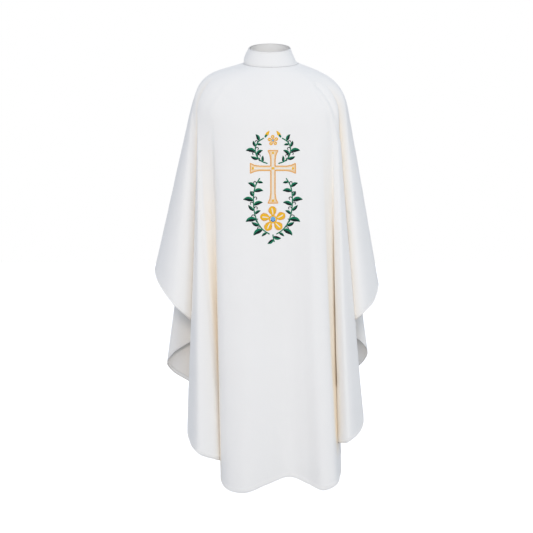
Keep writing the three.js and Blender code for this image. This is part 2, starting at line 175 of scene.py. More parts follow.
# Collar rings, from its seam up: rise, middle, and reach to the side, the front and the back.
COLLAR = [
    (0.4, 4, 81, 68, 64),
    (6, 1, 78.5, 66.5, 63.6),
    (14, -0.5, 77, 64.5, 63),
    (30, -1.2, 70, 61.5, 62.4),
    (46, 0.6, 63, 58.5, 62),
]

# Soft creases: where the shoulders pull the cloth, then along the outer rims of the two
# front valleys. Path (x, z), depth and half width.
CREASES = [
    (((140, -72), (158, -89), (177, -117), (191, -147), (203, -187), (208, -225)), 3.6, 6.5),
    (((150, -104), (168, -134), (178, -165), (181, -200)), 1.8, 6),
    (((-221, -64), (-229, -100), (-231, -150), (-226, -205)), 3, 6),
    (((-150, -84), (-172, -112), (-190, -150)), 1.2, 9),
    (((-199, -428), (-186, -627), (-167, -840), (-157, -962)), 1.8, 6.5),
    (((173, -428), (179, -627), (188, -840), (197, -962)), 1.8, 6.5),
]

# They fade out over this depth in front of the seam, so that front and back still meet there.
CREASE_FADE = 20

# Buckles of the cloth: height in mm, noise scale and seed. The long ones are drawn out along
# the fall. All but the puckers grow in below the neck and ease off at the hem.
BUCKLES = {"long": (2.0, 11.0, 1), "small": (0.5, 24.0, 2), "pucker": (1.2, 40.0, 3)}
LONG_STRETCH = 0.22
BUCKLE_FADE = {"grow": 9, "ease": 12, "end": 1.02, "least": 0.25}
PUCKER_START = 0.965

EMBLEM_X = 10
# A satin strip: points across it, how square its section is, the half width from which it
# has its full height, and how deep its edges lie in the cloth.
SATIN = {"across": 7, "power": 2.6, "full": 1.5, "edge": -0.4}
# The cross, top, foot and arm: distance along it and half width there.
CROSS = {"z": -318, "half": 8, "stations": 24, "core": 0.42, "edge_in": 1.5, "cord": 1.6}
CROSS_BOSS = {"radius": 4, "in": 9}
CROSS_UP = ((26, 8), (40, 10.5), (54, 17))
CROSS_DOWN = ((42, 8), (74, 8), (90, 10.5), (104, 17))
CROSS_ARM = ((40, 8), (54, 10.5), (68, 17))

# Leafy stems on the left side, below and above the cross's arms; the right side mirrors them.
STEM_HALF = 2
STEM_SHADE = (-0.5, 1.7)
LEAF_FOOT_HALF = 2.4
LEAF_ANGLE = 46
LEAF_RIB = 0.2
VEIN_HALF = 0.5
STEM = [
    (-10, -512),
    (-28, -500),
    (-43, -481),
    (-53, -455),
    (-57, -425),
    (-57, -396),
    (-51, -368),
    (-39, -347),
]
STEM_UPPER = [
    (-16, -304),
    (-34, -297),
    (-48, -281),
    (-52, -260),
    (-44, -241),
    (-27, -229),
]
STEM_LOW = [(0, -513), (1, -522), (4, -535)]
# Leaves: place along the stem (0 to 1), side (1 is to the left going up), length,
# width and how many degrees the leaf curls away from the stem.
LEAVES = [
    (0.05, 1, 17, 9, 40),
    (0.13, 1, 30, 17, 60),
    (0.22, 1, 23, 12, -30),
    (0.32, 1, 30, 17, 70),
    (0.41, -1, 18, 10, 50),
    (0.47, 1, 22, 11, -20),
    (0.55, -1, 26, 14, 60),
    (0.62, 1, 28, 16, 70),
    (0.7, 1, 16, 10, -30),
    (0.77, -1, 25, 14, 60),
    (0.84, 1, 22, 13, 60),
    (0.93, -1, 15, 9, 40),
]
LEAVES_UPPER = [
    (0.14, -1, 17, 9, 40),
    (0.3, 1, 22, 11, -30),
    (0.42, -1, 21, 12, 60),
    (0.52, 1, 26, 15, 60),
    (0.66, 1, 17, 10, -20),
    (0.73, -1, 14, 8, 50),
    (0.84, 1, 20, 12, 60),
]
LEAVES_LOW = [(0.27, 1, 22, 13, 50), (0.64, -1, 20, 12, 40)]
# Curling tendrils, thin with a knob at the end. Rows: place, side, length, degrees of curl.
TENDRIL = {"angle": 35, "stations": 22, "half": 1.8, "taper": 0.6}
KNOB = {"half": 0.9, "at": 0.96, "size": 0.06}
TENDRILS = [
    (0.18, 1, 19, 230),
    (0.27, 1, 16, -200),
    (0.38, 1, 19, 230),
    (0.5, -1, 18, 230),
    (0.58, 1, 16, 220),
    (0.66, -1, 18, 240),
    (0.74, 1, 17, 230),
    (0.9, 1, 15, 220),
]
TENDRILS_UPPER = [
    (0.2, 1, 14, -200),
    (0.35, -1, 17, 230),
    (0.47, 1, 16, 220),
    (0.6, -1, 16, 230),
    (0.78, 1, 14, 230),
]
# Flowers: name, x, z, reach and petal width. Buds: name, x, z, direction, length and width.
FLOWERS = [("flower_large", 0, -468, 39, 26), ("flower_small", 0, -236, 16, 11)]
BUDS = [("bud_left", -23, -226, 56, 22, 11), ("bud_right", 23, -226, 124, 22, 11)]
# Outlines along their length: share of the length, share of the width.
LEAF_SHAPE = ((0.3, 0.47), (0.6, 0.44), (0.84, 0.24), (1, 0.05))
PETAL_SHAPE = ((0.3, 0.4), (0.62, 0.5), (0.86, 0.34), (1, 0.1))
BUD_SHAPE = ((0.25, 0.4), (0.5, 0.5), (0.78, 0.32), (1, 0.06))
BUD_FOOT = 1.3
CALYX = {"spread": 0.42, "bend": 0.75, "side": 0.5, "middle": 0.4, "width": 0.42, "foot": 1.6}
PETALS = 5
PETAL_BEND = 24
STREAK = 0.09
# Shares of a flower's reach: its eye, and the ring from which its petals start.
EYE = 0.2
PETAL_RING = 0.32


# Draped surface

def unit(vectors):
    return vectors / np.linalg.norm(vectors, axis=-1, keepdims=True)


def run_along(path):
    """Length run at each point of a path."""
    return np.concatenate([[0.0], np.cumsum(np.linalg.norm(np.diff(path, axis=0), axis=1))])


def full_turn(count):
    return np.linspace(0, 2 * np.pi, count + 1)[:-1]


def as_columns():
    columns = {"turn": np.array([fold[1] for fold in FOLDS], float)}
    for key, at in (("sink", 2), ("x", 3), ("y", 4), ("z", 5)):
        columns[key] = np.array([fold[at] for fold in FOLDS], float) * MM
    return columns


COLUMNS = as_columns()


def hem_spans():
    """Spacing of the folds, from their distances along the hem."""
    hem = np.stack([COLUMNS[key] for key in "xyz"], axis=1) / MM
    return np.linalg.norm(np.roll(hem, -1, axis=0) - hem, axis=1) ** KNOT_POWER


SPANS = hem_spans()


def column_slopes(key):
    values = COLUMNS[key]
    wrap = -360.0 if key == "turn" else 0.0
    after = np.roll(values, -1)
    after[-1] += wrap
    rise = (after - values) / SPANS
    before = np.roll(rise, 1)
    spans_before = np.roll(SPANS, 1)
    slopes = (before * SPANS + rise * spans_before) / (SPANS + spans_before)
    if key == "turn":
        slopes = np.maximum(slopes, -STEEPEST * np.minimum(np.abs(before), np.abs(rise)))
    return slopes


SLOPES = {key: column_slopes(key) for key in COLUMNS}


def cubic(t, p0, m0, p1, m1):
    cube = t**3
    square = t**2
    start = (2 * cube - 3 * square + 1) * p0 + (cube - 2 * square + t) * m0
    return start + (3 * square - 2 * cube) * p1 + (cube - square) * m1


def fold_column(place, key):
    whole = np.floor(place).astype(int)
    i = whole % COUNT
    j = (i + 1) % COUNT
    wrap = np.where(i == COUNT - 1, -360.0, 0.0) if key == "turn" else 0.0
    values, slopes, span = COLUMNS[key], SLOPES[key], SPANS[i]
    return cubic(place - whole, values[i], slopes[i] * span, values[j] + wrap, slopes[j] * span)


def powered(value, exponent):
    return np.sign(value) * np.abs(value) ** exponent


def draped(place, down):
    """Points of the outer face: place counts folds, down runs 0 at the neck to 1 at the hem."""
    place, down = np.broadcast_arrays(np.asarray(place, float), np.asarray(down, float))
    turn = np.radians(fold_column(place, "turn"))
    sin, cos = np.sin(turn), np.cos(turn)
    top_x = -YOKE["half"] * powered(sin, 2 / YOKE_POWER["x"])
    top_y = -YOKE["depth"] * powered(cos, 2 / YOKE_POWER["y"])
    kept = 1 - np.maximum(0, fold_column(place, "sink")) / np.hypot(top_x, top_y)
    lower = np.where(cos > 0, YOKE_CHEST, YOKE_SHOULDERS) * cos**2
    top = np.stack([top_x * kept, top_y * kept, YOKE["z"] - lower], axis=-1)
    hem = np.stack([fold_column(place, key) for key in "xyz"], axis=-1)
    fall = hem - top
    side = sin**2
    flare = FLARE * (1 - side**2)
    w = (down - YOKE_SHARE) / (1 - YOKE_SHARE)
    wide = w * (1 - flare) + w * w * flare
    hanging = top + fall * np.stack([wide, wide, w], axis=-1)
    lean = sin**3
    out = LEAVE["front_out"] + (LEAVE["side_out"] - LEAVE["front_out"]) * side**1.5
    out += LEAVE["lean"] * lean
    drop = LEAVE["front_down"] + (LEAVE["side_down"] - LEAVE["front_down"]) * side
    leave = np.stack([-out * sin, -out * cos, -drop], axis=-1)
    hang = fall * np.stack([1 - flare, 1 - flare, np.ones_like(flare)], axis=-1)
    pull = TURN["front"] + (TURN["side"] - TURN["front"]) * side**2 + TURN["lean"] * lean
    hang *= (pull / np.linalg.norm(hang, axis=-1))[..., None]
    depth = np.where(cos > 0, NECK["front"], NECK["back"])
    neck = np.stack([NECK["x"] - NECK["half"] * sin, -depth * cos, -NECK["tilt"] * cos], axis=-1)
    s = np.clip(down / YOKE_SHARE, 0, 1)[..., None]
    return np.where((down < YOKE_SHARE)[..., None], cubic(s, neck, leave, top, hang), hanging)


def draped_normal(place, down, across=0.02, step=0.004):
    along = draped(place + across, down) - draped(place - across, down)
    fall = draped(place, np.minimum(1, down + step)) - draped(place, np.maximum(0, down - step))
    return unit(np.cross(fall, along))


def find_on_front(x, z, rounds=14, across=0.01, step=0.001):
    """Place and down of the front's points that have the given x and z, from its middle on."""
    place = np.full(x.shape, 11.5)
    down = np.full(x.shape, 0.5)
    for _ in range(rounds):
        point = draped(place, down)
        by_place = (draped(place + across, down) - point) / across
        by_down = (draped(place, down + step) - point) / step
        det = by_place[..., 0] * by_down[..., 2] - by_place[..., 2] * by_down[..., 0]
        dx, dz = x - point[..., 0], z - point[..., 2]
        place = place + (dx * by_down[..., 2] - dz * by_down[..., 0]) / det
        down = np.clip(down + (dz * by_place[..., 0] - dx * by_place[..., 2]) / det, 0.01, 1)
    return place, down


# Meshes

def make_piece(name, points, faces, material, replaces=(), uvs=None):
    mesh = bpy.data.meshes.new(name)
    mesh.from_pydata(np.asarray(points, float).tolist(), [], faces)
    mesh.validate()
    mesh.polygons.foreach_set("use_smooth", [True] * len(mesh.polygons))
    if uvs is not None:
        layer = mesh.uv_layers.new(name="thread")
        picked = np.asarray(uvs, float)[[loop.vertex_index for loop in mesh.loops]]
        layer.data.foreach_set("uv", picked.ravel())
    mesh.materials.append(material)
    piece = bpy.data.objects.new(name, mesh)
    bpy.context.scene.collection.objects.link(piece)
    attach(piece, BODY)
    if replaces:
        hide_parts(*replaces)
    return piece


def grid_faces(rows, cols, first=0, ring=False, flip=False):
    faces = []
    for i in range(rows - 1):
        for j in range(cols if ring else cols - 1):
            k = (j + 1) % cols
            face = (i * cols + j, (i + 1) * cols + j, (i + 1) * cols + k, i * cols + k)
            face = face[::-1] if flip else face
            faces.append(tuple(first + corner for corner in face))
    return faces


def loop_wall(sections, ring=False):
    """Points and faces of a tube through (count, around, 3) sections, capped unless a ring."""
    count, around = sections.shape[:2]
    faces = []
    for i in range(count if ring else count - 1):
        n = (i + 1) % count
        for j in range(around):
            k = (j + 1) % around
            faces.append((i * around + j, n * around + j, n * around + k, i * around + k))
    if not ring:
        faces.append(tuple(range(around)))
        faces.append(tuple((count - 1) * around + j for j in reversed(range(around))))
    return sections.reshape(-1, 3), faces


def closed_wall(outer, inner, ring=False):
    """Closed wall between two grids of one size, its edges rounded by a middle row."""
    rows, cols = outer.shape[:2]
    size = rows * cols
    points = [outer.reshape(-1, 3), inner.reshape(-1, 3)]
    faces = grid_faces(rows, cols, 0, ring) + grid_faces(rows, cols, size, ring, flip=True)
    edges = [[(0, j) for j in range(cols)], [(rows - 1, j) for j in range(cols - 1, -1, -1)]]
    if not ring:
        border = edges[0] + [(i, cols - 1) for i in range(1, rows)]
        border += edges[1][1:] + [(i, 0) for i in range(rows - 2, 0, -1)]
        edges = [border]
    first = 2 * size
    for edge in edges:
        i, j = np.array(edge).T
        middle = (outer[i, j] + inner[i, j]) / 2
        before = np.clip(np.where(i == 0, 1, np.where(i == rows - 1, rows - 2, i)), 0, rows - 1)
        beside = j if ring else np.where(j == 0, 1, np.where(j == cols - 1, cols - 2, j))
        away = unit(outer[i, j] - outer[before, beside])
        half = np.linalg.norm(outer[i, j] - inner[i, j], axis=1, keepdims=True) / 2
        points.append(middle + away * half * ROUNDING)
        count = len(edge)
        for n in range(count):
            m = (n + 1) % count
            a, b = i[n] * cols + j[n], i[m] * cols + j[m]
            faces.append((b, a, first + n, first + m))
            faces.append((first + m, first + n, a + size, b + size))
        first += count
    return np.concatenate(points), faces


# Materials

def node_material(name, base, roughness, sheen=0.0):
    material = bpy.data.materials.new(name)
    material.use_nodes = True
    shader = material.node_tree.nodes["Principled BSDF"]
    shader.inputs["Base Color"].default_value = (*base, 1)
    shader.inputs["Roughness"].default_value = roughness
    shader.inputs["Specular IOR Level"].default_value = 0.25
    shader.inputs["Sheen Weight"].default_value = sheen
    shader.inputs["Sheen Roughness"].default_value = 0.5
    return material, material.node_tree, shader


def mixed_colour(tree, factor, low, high):
    ramp = tree.nodes.new("ShaderNodeValToRGB")
    ramp.color_ramp.elements[0].color = (*low, 1)
    ramp.color_ramp.elements[1].color = (*high, 1)
    tree.links.new(factor, ramp.inputs["Fac"])
    return ramp.outputs["Color"]


def object_noise(tree, scale, detail=2, stretch=(1, 1, 1)):
    coords = tree.nodes.new("ShaderNodeTexCoord")
    mapping = tree.nodes.new("ShaderNodeMapping")
    mapping.inputs["Scale"].default_value = stretch
    grain = tree.nodes.new("ShaderNodeTexNoise")
    grain.inputs["Scale"].default_value = scale
    grain.inputs["Detail"].default_value = detail
    tree.links.new(coords.outputs["Object"], mapping.inputs["Vector"])
    tree.links.new(mapping.outputs["Vector"], grain.inputs["Vector"])
    return grain.outputs["Fac"]


def bumped(tree, height, strength, distance, under=None):
    bump = tree.nodes.new("ShaderNodeBump")
    bump.inputs["Strength"].default_value = strength
    bump.inputs["Distance"].default_value = distance
    tree.links.new(height, bump.inputs["Height"])
    if under is not None:
        tree.links.new(under, bump.inputs["Normal"])
    return bump.outputs["Normal"]


def cloth_material(name, low, high, painted_shade_colour):
    """Matt plain-weave cloth: crossed threads, soft unevenness, and a creamier painted shade in folds
    and at edges.
    """
    material, tree, shader = node_material(name, high, roughness=0.86, sheen=0.12)
    weave = tree.nodes.new("ShaderNodeMath")
    weave.operation = "ADD"
    for k, stretch in enumerate(((1.0, 1.0, 0.06), (0.06, 0.06, 1.0))):
        tree.links.new(object_noise(tree, scale=900, stretch=stretch), weave.inputs[k])
    threads = bumped(tree, weave.outputs[0], strength=0.35, distance=0.25 * MM)
    waves = object_noise(tree, scale=16, detail=3)
    uneven = bumped(tree, waves, strength=0.25, distance=1.6 * MM, under=threads)
    tree.links.new(uneven, shader.inputs["Normal"])
    tone = mixed_colour(tree, object_noise(tree, scale=5, detail=4), low, high)
    # A mesh attribute of painted shade: where it is 1 the cloth's colour becomes the cream painted shade
    # colour.
    depth = tree.nodes.new("ShaderNodeAttribute")
    depth.attribute_name = "painted_shade"
    # Inputs 6 and 7 and output 2 of this node are its colours.
    blend = tree.nodes.new("ShaderNodeMix")
    blend.data_type = "RGBA"
    tree.links.new(depth.outputs["Fac"], blend.inputs[0])
    tree.links.new(tone, blend.inputs[6])
    blend.inputs[7].default_value = (*painted_shade_colour, 1)
    tree.links.new(blend.outputs[2], shader.inputs["Base Color"])
    return material


def thread_material(name, low, high):
    """Satin embroidery thread: rows of stitches across the thread UV, with painted highlight on their
    crests and painted shade between them.
    """
    material, tree, shader = node_material(name, high, roughness=0.5, sheen=0.05)
    shader.inputs["Specular IOR Level"].default_value = 0.2
    coords = tree.nodes.new("ShaderNodeUVMap")
    coords.uv_map = "thread"
    rows = tree.nodes.new("ShaderNodeTexWave")
    rows.wave_type = "BANDS"
    rows.bands_direction = "X"
    rows.inputs["Scale"].default_value = 0.5
    rows.inputs["Distortion"].default_value = 0.6
    rows.inputs["Detail"].default_value = 1
    tree.links.new(coords.outputs["UV"], rows.inputs["Vector"])
    ribs = bumped(tree, rows.outputs["Fac"], strength=0.5, distance=0.3 * MM)
    tree.links.new(ribs, shader.inputs["Normal"])
    # The colour follows the stitch rows' bump: the high colour is a painted highlight on each crest, and
    # the low colour is a painted shade in between.
    tone = mixed_colour(tree, rows.outputs["Fac"], low, high)
    tree.links.new(tone, shader.inputs["Base Color"])
    return material


def plain_thread_material(name, low, high):
    """Sewing thread: a twisted yarn seen from close up, plain from further away."""
    material, tree, shader = node_material(name, high, roughness=0.6, sheen=0.1)
    tone = mixed_colour(tree, object_noise(tree, scale=1200), low, high)
    tree.links.new(tone, shader.inputs["Base Color"])
    return material


CLOTH_LOOK = cloth_material("ivory_cloth", (0.925, 0.905, 0.87), (0.95, 0.935, 0.905), (1.0, 0.85, 0.64))
SEWING = plain_thread_material("sewing_thread", (0.84, 0.81, 0.75), (0.93, 0.91, 0.86))
# For each embroidery thread, the two colours are its painted shade and its painted highlight along the
# stitch rows.
GOLD = thread_material("gold_thread", (0.86, 0.36, 0.06), (1.0, 0.55, 0.16))
PEACH = thread_material("peach_thread", (0.97, 0.66, 0.36), (1.0, 0.82, 0.56))
PALE = thread_material("pale_thread", (0.92, 0.88, 0.8), (1.0, 0.98, 0.93))
GREEN = thread_material("green_thread", (0.001, 0.13, 0.065), (0.003, 0.27, 0.13))
DARK_GREEN = thread_material("dark_green_thread", (0.001, 0.008, 0.008), (0.002, 0.025, 0.02))
ORANGE = thread_material("orange_thread", (0.8, 0.24, 0.01), (0.98, 0.4, 0.03))
YELLOW = thread_material("yellow_thread", (0.95, 0.46, 0.01), (1.0, 0.62, 0.04))
BLUE = thread_material("blue_thread", (0.1, 0.36, 0.75), (0.28, 0.6, 0.95))
DARK_BLUE = thread_material("dark_blue_thread", (0.01, 0.06, 0.25), (0.03, 0.16, 0.5))


# Cloth panels

def buckles(points, kind):
    height, scale, seed = BUCKLES[kind]
    offset = Vector((seed * 7.3, seed * 1.7, seed * 4.1))
    values = [noise.noise(Vector(point) * scale + offset) for point in points.reshape(-1, 3)]
    return np.array(values).reshape(points.shape[:-1]) * height * MM


def distance_to_path(x, z, path):
    nearest = np.full(np.shape(x), np.inf)
    for (x0, z0), (x1, z1) in zip(path, path[1:]):
        dx, dz = x1 - x0, z1 - z0
        along = np.clip(((x - x0) * dx + (z - z0) * dz) / (dx * dx + dz * dz), 0, 1)
        nearest = np.minimum(nearest, np.hypot(x - x0 - along * dx, z - z0 - along * dz))
    return nearest


def crumple(place, down):
    """How far the cloth stands out from its drape: long buckles that follow the fall, creases."""
    points = draped(place, down)
    long_folds = buckles(points * np.array([1.0, 1.0, LONG_STRETCH]), "long")
    grow = np.clip(down * BUCKLE_FADE["grow"], 0, 1)
    ease = np.clip((BUCKLE_FADE["end"] - down) * BUCKLE_FADE["ease"], BUCKLE_FADE["least"], 1)
    relief = (long_folds + buckles(points, "small")) * grow * ease
    puckered = np.clip((down - PUCKER_START) / (1 - PUCKER_START), 0, 1)
    relief = relief + buckles(points, "pucker") * puckered
    x, z = points[..., 0] / MM, points[..., 2] / MM
    for path, depth, half_width in CREASES:
        dip = depth * MM * np.exp(-((distance_to_path(x, z, path) / half_width) ** 2))
        relief = relief - dip * np.clip(-points[..., 1] / (CREASE_FADE * MM), 0, 1)
    return relief


def worn(place, down, lift=0.0):
    """Points of the crumpled outer face, lifted along its normals, and those normals."""
    place, down = np.broadcast_arrays(np.asarray(place, float), np.asarray(down, float))
    normals = draped_normal(place, down)
    return draped(place, down) + normals * (crumple(place, down) + lift)[..., None], normals


def down_stops():
    """Rows from neck to hem; the power sets them a little closer together towards the hem."""
    yoke = YOKE_SHARE * np.arange(YOKE_ROWS) / YOKE_ROWS
    fall = YOKE_SHARE + (1 - YOKE_SHARE) * np.linspace(0, 1, FALL_ROWS + 1) ** 0.92
    return np.concatenate([yoke, fall])


def painted_shade(place, down):
    """Painted shade: 0 on open cloth to 1 deep in a fold, where light only comes off cream cloth."""
    tone = np.zeros(np.shape(place))
    for name, before, drift, rise, after, fall, first, full, gone, strength in FOLD_PAINTED_SHADES:
        at = place - FOLD_NAMES.index(name)
        entering = np.clip((at + before - drift * down) / rise, 0, 1)
        leaving = np.clip((after - at) / fall, 0, 1)
        along = np.clip((down - first) / (full - first), 0, 1)
        along = along * np.clip((gone - down) / PAINTED_SHADE_FADE, 0, 1)
        tone = np.maximum(tone, strength * np.minimum(entering, leaving) * along)
    return tone


def add_panel(name, node, start, stop, per_fold):
    places = np.linspace(start, stop, (stop - start) * per_fold + 1)
    grid = np.meshgrid(places, down_stops())
    outer, normals = worn(*grid)
    # The cloth's colour carries painted shade, deep in the folds listed in the table above.
    tone = painted_shade(*grid).ravel()
    for column, toward in ((0, 1), (-1, -2)):
        outer[:, column] += unit(outer[:, toward] - outer[:, column]) * SEAM_GAP / 2
    points, faces = closed_wall(outer, outer - normals * CLOTH)
    piece = make_piece(name, points, faces, CLOTH_LOOK, (node,))
    # The rounded cut edges get a fixed painted shade.
    values = np.full(len(points), EDGE_PAINTED_SHADE)
    values[:2 * len(tone)] = np.tile(tone, 2)
    piece.data.attributes.new("painted_shade", "FLOAT", "POINT").data.foreach_set("value", values)
    return piece


front = add_panel("front_cloth", "front_panel", 0, ARM_RIGHT, PER_FOLD["front"])
back = add_panel("back_cloth", "back_panel", ARM_RIGHT, COUNT, PER_FOLD["back"])


def down_from_hem(place, height):
    """Share of the fall that lies the given height above the hem."""
    above = draped(place, 1.0 - HEM_SAMPLE)
    fall = np.linalg.norm(draped(place, 1.0) - above, axis=-1) / HEM_SAMPLE
    return 1 - height / fall


def add_hem_turn(name, start, stop):
    """The hem's turned-up edge, a second layer on the inner face."""
    places = np.linspace(start, stop, (stop - start) * PER_FOLD["hem"] + 1)[1:-1]
    rows = []
    for height in np.linspace(HEM_TURN["width"], HEM_TURN["edge"], HEM_TURN["rows"]):
        rows.append(worn(places, down_from_hem(places, height), -CLOTH - HEM_TURN["inset"]))
    outer = np.stack([row[0] for row in rows])
    normals = np.stack([row[1] for row in rows])
    points, faces = closed_wall(outer, outer - normals * HEM_TURN["thick"])
    make_piece(name, points, faces, CLOTH_LOOK)


def stitch_row(path, normals):
    """Short stitches in a row along a path on a surface."""
    run = run_along(path)
    pitch = STITCH["length"] + STITCH["gap"]
    starts = np.arange(pitch / 2, run[-1] - pitch, pitch)
    shares, widths = np.array(STITCH_SHAPE).T
    widths = widths * STITCH["radius"]
    at = starts[:, None] + shares * STITCH["length"]
    middle = np.stack([np.interp(at, run, path[:, k]) for k in range(3)], axis=-1)
    up = unit(np.stack([np.interp(at, run, normals[:, k]) for k in range(3)], axis=-1))
    side = unit(np.cross(middle[:, -1:] - middle[:, :1], up))
    middle = middle + up * (widths[:, None] - STITCH["radius"] * STITCH["sunk"])
    turns = full_turn(STITCH_SIDES)
    around = side[:, :, None] * np.cos(turns)[:, None] + up[:, :, None] * np.sin(turns)[:, None]
    sections = middle[:, :, None] + around * widths[:, None, None]
    return [loop_wall(section) for section in sections]


def add_stitches(name, rows):
    points, faces, first = [], [], 0
    for tube in (tube for row in rows for tube in stitch_row(*row)):
        points.append(tube[0])
        faces += [tuple(first + corner for corner in face) for face in tube[1]]
        first += len(tube[0])
    make_piece(name, np.concatenate(points), faces, SEWING)


def hem_path(start, stop):
    count = (stop - start) * PER_FOLD["stitches"]
    places = np.linspace(start + HEM_STITCH_MARGIN, stop - HEM_STITCH_MARGIN, count)
    return worn(places, down_from_hem(places, HEM_STITCH_UP), STITCH["lift"])


def seam_path(place, side, step=0.05):
    """A line beside the seam over the shoulder, from the collar down to the sleeve's hem."""
    downs = np.linspace(*SEAM_STITCH_DOWN, 200)
    beside = draped(place + side * step, downs)
    width = np.linalg.norm(beside - draped(place, downs), axis=-1) / step
    return worn(place + side * SEAM_STITCH_IN / width, downs, STITCH["lift"])


add_hem_turn("front_hem", 0, ARM_RIGHT)
add_hem_turn("back_hem", ARM_RIGHT, COUNT)
add_stitches("hem_stitches", [hem_path(0, ARM_RIGHT), hem_path(ARM_RIGHT, COUNT)])
add_stitches("seam_stitches", [seam_path(0, 1), seam_path(ARM_RIGHT, -1)])


# Collar

def collar_ring(rise, wall, around):
    rows = np.array(COLLAR, float) * MM
    middle, half, front_depth, back_depth = (np.interp(rise, rows[:, 0], row) for row in rows.T[1:])
    depth = np.where(np.cos(around) > 0, front_depth, back_depth) - wall
    x = middle - (half - wall) * np.sin(around)
    return np.stack([x, -depth * np.cos(around), rise - NECK["tilt"] * np.cos(around)], axis=-1)


def add_collar():
    around = np.pi / 2 - full_turn(160)
    rises = np.linspace(COLLAR[-1][0], COLLAR[0][0], 24) * MM
    outer = np.stack([collar_ring(rise, 0, around) for rise in rises])
    inner = np.stack([collar_ring(rise, COLLAR_WALL, around) for rise in rises])
    points, faces = closed_wall(outer, inner, ring=True)
    make_piece("collar_band", points, faces, CLOTH_LOOK, ("collar",))


def collar_line(rise):
    around = np.pi / 2 - np.linspace(0, 2 * np.pi, 241)
    path = collar_ring(rise, 0, around)
    outward = np.stack([-np.sin(around), -np.cos(around), 0.15 * np.ones_like(around)], axis=-1)
    return path, outward


add_collar()
add_stitches("collar_stitches", [collar_line(rise) for rise in COLLAR_STITCH_RISES])


# Embroidery. Shapes are drawn flat, in mm, as (x, z, height above the cloth), then laid on it.

def flat_path(rows, shares):
    """Points and headings of a smooth curve through the rows, at shares of its length."""
    rows = np.array(rows, float)
    knots = run_along(rows)
    slopes = np.gradient(rows, knots, axis=0)
    fine = np.linspace(0, knots[-1], 400)
    i = np.clip(np.searchsorted(knots, fine, "right") - 1, 0, len(rows) - 2)
    span = (knots[i + 1] - knots[i])[:, None]
    t = (fine - knots[i])[:, None] / span
    curve = cubic(t, rows[i], slopes[i] * span, rows[i + 1], slopes[i + 1] * span)
    run = run_along(curve)
    at = np.asarray(shares, float) * run[-1]
    points = np.stack([np.interp(at, run, curve[:, k]) for k in range(2)], axis=-1)
    ahead = np.gradient(curve, run, axis=0)
    heading = np.unwrap(np.arctan2(ahead[:, 1], ahead[:, 0]))
    return points, np.interp(at, run, heading)


def blade(foot, heading, bend, length, width, foot_half, shape, stations=15):
    """Middle line, headings and half widths of a leaf or petal. Angles are in radians."""
    t = np.linspace(0, 1, stations)
    toward = heading + bend * t / 2
    reach = np.stack([np.cos(toward), np.sin(toward)], axis=-1)
    middle = np.asarray(foot) + (length * t)[:, None] * reach
    far = [0] + [row[0] for row in shape]
    half = np.interp(t, far, [foot_half] + [row[1] * width for row in shape])
    half[1:-1] = (half[:-2] + 2 * half[1:-1] + half[2:]) / 4
    return middle, heading + bend * t, half


class Embroidery:
    """Gathers satin strips of one thread colour and makes them one piece."""

    def __init__(self, name, material, slot=None, replaces=()):
        self.name, self.material, self.slot, self.replaces = name, material, slot, replaces
        self.points, self.uvs, self.faces, self.count = [], [], [], 0

    def add(self, middle, heading, left, right, height, base=0.0, ring=False):
        """A rounded strip: left and right are its edges' distances from the middle line."""
        middle, heading = np.asarray(middle, float), np.asarray(heading, float)
        n = len(middle)
        left, right = np.broadcast_to(left, n), np.broadcast_to(right, n)
        across = np.stack([-np.sin(heading), np.cos(heading)], axis=-1)
        s = np.linspace(-1, 1, SATIN["across"])
        offset = (left - right)[:, None] / 2 + (left + right)[:, None] / 2 * s
        flat = middle[:, None] + across[:, None] * offset[..., None]
        size = np.minimum(1, (left + right) / 2 / SATIN["full"])[:, None]
        rise = base + height * size * np.sqrt(1 - np.abs(s) ** SATIN["power"])
        rise[:, [0, -1]] = SATIN["edge"]
        run = run_along(middle)[:, None]
        uv = np.stack([np.broadcast_to(run, offset.shape), offset], axis=-1)
        self.points.append(np.concatenate([flat, rise[..., None]], axis=-1).reshape(-1, 3))
        self.uvs.append(uv.reshape(-1, 2))
        faces = loop_wall(np.zeros((*offset.shape, 3)), ring)[1]
        self.faces += [tuple(self.count + corner for corner in face) for face in faces]
        self.count += offset.size

    def cord(self, path, half, height, base=0.0, ring=False):
        path = np.asarray(path, float)
        if ring:
            ahead = np.roll(path, -1, axis=0) - np.roll(path, 1, axis=0)
        else:
            ahead = np.gradient(path, axis=0)
        heading = np.unwrap(np.arctan2(ahead[:, 1], ahead[:, 0]))
        self.add(path, heading, half, half, height, base, ring)

    def boss(self, x, z, radius, height, base=0.0):
        t = np.linspace(-1, 1, 13)
        half = radius * np.sqrt(np.maximum(0.02, 1 - t**2))
        middle = np.stack([np.full_like(t, x), z + t * radius], axis=-1)
        self.add(middle, np.full_like(t, math.pi / 2), half, half, height, base)

    def finish(self):
        flat = np.concatenate(self.points)
        place, down = find_on_front((flat[:, 0] + EMBLEM_X) * MM, flat[:, 1] * MM)
        points = worn(place, down, flat[:, 2] * MM)[0]
        uvs = np.concatenate(self.uvs)
        make_piece(self.name, points, self.faces, self.material, self.replaces, uvs)


def cross_outline():
    h, z = CROSS["half"], CROSS["z"]
    outline = []
    limbs = (CROSS_UP, CROSS_ARM, CROSS_DOWN, CROSS_ARM)
    for limb, (dx, dz) in zip(limbs, ((0, 1), (-1, 0), (0, -1), (1, 0))):
        sx, sz = dz, -dx
        near_side = [(h, h)] + list(limb)
        for far, half in near_side:
            outline.append((far * dx + half * sx, z + far * dz + half * sz))
        for far, half in reversed(limb):
            outline.append((far * dx - half * sx, z + far * dz - half * sz))
    return np.array(outline, float)


